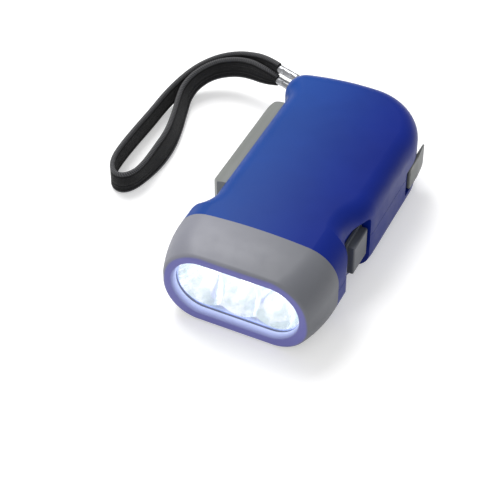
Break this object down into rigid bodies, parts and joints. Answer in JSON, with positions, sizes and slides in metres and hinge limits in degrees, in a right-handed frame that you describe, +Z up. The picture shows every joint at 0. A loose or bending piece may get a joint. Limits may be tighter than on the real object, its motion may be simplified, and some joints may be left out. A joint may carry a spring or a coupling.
{
  "type": "squeeze-lever dynamo torch",
  "caption": "Flat pocket torch with lamps behind a wide oval lens, a squeeze lever that drives a small generator through gears, a thumb switch, a lever lock and a wrist strap.",
  "frame": {"origin": "on the resting face, under the middle of the head and half-way along the casing", "axes": "+Z up from the resting face, beam along -Y, squeeze lever on the -X side, switch and lever lock on the +X side"},
  "size_m": [0.1044, 0.1172, 0.032],
  "materials": {
    "shell_blue": "satin",
    "bezel_grey": "satin",
    "lens_clear": "clear",
    "reflector": "bright",
    "lamp": "clear, lit",
    "board_green": "coated board",
    "cell_steel": "plated",
    "clip_steel": "plated",
    "diode_black": "moulded",
    "switch_grey": "satin",
    "lever_grey": "satin",
    "pin_steel": "ground",
    "gear_white": "moulded",
    "magnet": "sintered",
    "copper_wire": "enamelled",
    "strap_black": "woven",
    "ferrule_bright": "bright"
  },
  "bodies": {
    "casing": {"bottom_shell": "shell_blue", "top_shell": "shell_blue", "head_bezel": "bezel_grey", "lens": "lens_clear", "reflector": "reflector", "led_left": "lamp", "led_middle": "lamp", "led_right": "lamp", "led_board": "board_green", "charge_board": "board_green", "battery_cell": "cell_steel", "battery_clip": "clip_steel", "diodes": "diode_black", "switch_body": "diode_black", "lever_pin": "pin_steel", "lever_spring": "pin_steel", "first_axle": "pin_steel", "second_axle": "pin_steel", "rotor_axle": "pin_steel", "claw_plate_lower": "clip_steel", "claw_plate_upper": "clip_steel", "stator_bobbin": "gear_white", "stator_coil": "copper_wire", "case_screws": "pin_steel", "strap_post": "pin_steel", "strap_cord": "strap_black", "strap_ferrules": "ferrule_bright", "strap_band": "strap_black"},
    "lever": {"squeeze_lever": "lever_grey"},
    "first_gear": {"first_gear": "gear_white"},
    "second_gear": {"second_gear": "gear_white"},
    "rotor": {"rotor": "gear_white", "ring_magnet": "magnet"},
    "switch": {"switch_knob": "switch_grey"},
    "lock": {"lever_lock": "switch_grey"}
  },
  "joints": [
    {"name": "lever_swing", "type": "hinge", "parent": "casing", "child": "lever", "pos_m": [-0.017, -0.02, 0.016], "axis": [0, 0, 1], "range_deg": [0, 20]},
    {"name": "first_gear_turn", "type": "hinge", "parent": "casing", "child": "first_gear", "pos_m": [0.00478, 0.00178, 0.014], "axis": [0, 0, 1], "range_deg": [-110, 1]},
    {"name": "second_gear_turn", "type": "hinge", "parent": "casing", "child": "second_gear", "pos_m": [0.00191, 0.01803, 0.01], "axis": [0, 0, 1], "range_deg": [-1, 435]},
    {"name": "rotor_turn", "type": "hinge", "parent": "casing", "child": "rotor", "pos_m": [0.00578, 0.02992, 0.015], "axis": [0, 0, 1], "range_deg": [-1733.3, 0]},
    {"name": "switch_slide", "type": "slide", "parent": "casing", "child": "switch", "axis": [0, -1, 0], "range_m": [0, 0.003]},
    {"name": "lock_slide", "type": "slide", "parent": "casing", "child": "lock", "axis": [0, -1, 0], "range_m": [0, 0.0032]}
  ],
  "couplings": [
    {"joint": "lever_swing", "follows": "rotor_turn", "ratio": -0.011538},
    {"joint": "first_gear_turn", "follows": "rotor_turn", "ratio": 0.0625},
    {"joint": "second_gear_turn", "follows": "rotor_turn", "ratio": -0.25}
  ]
}
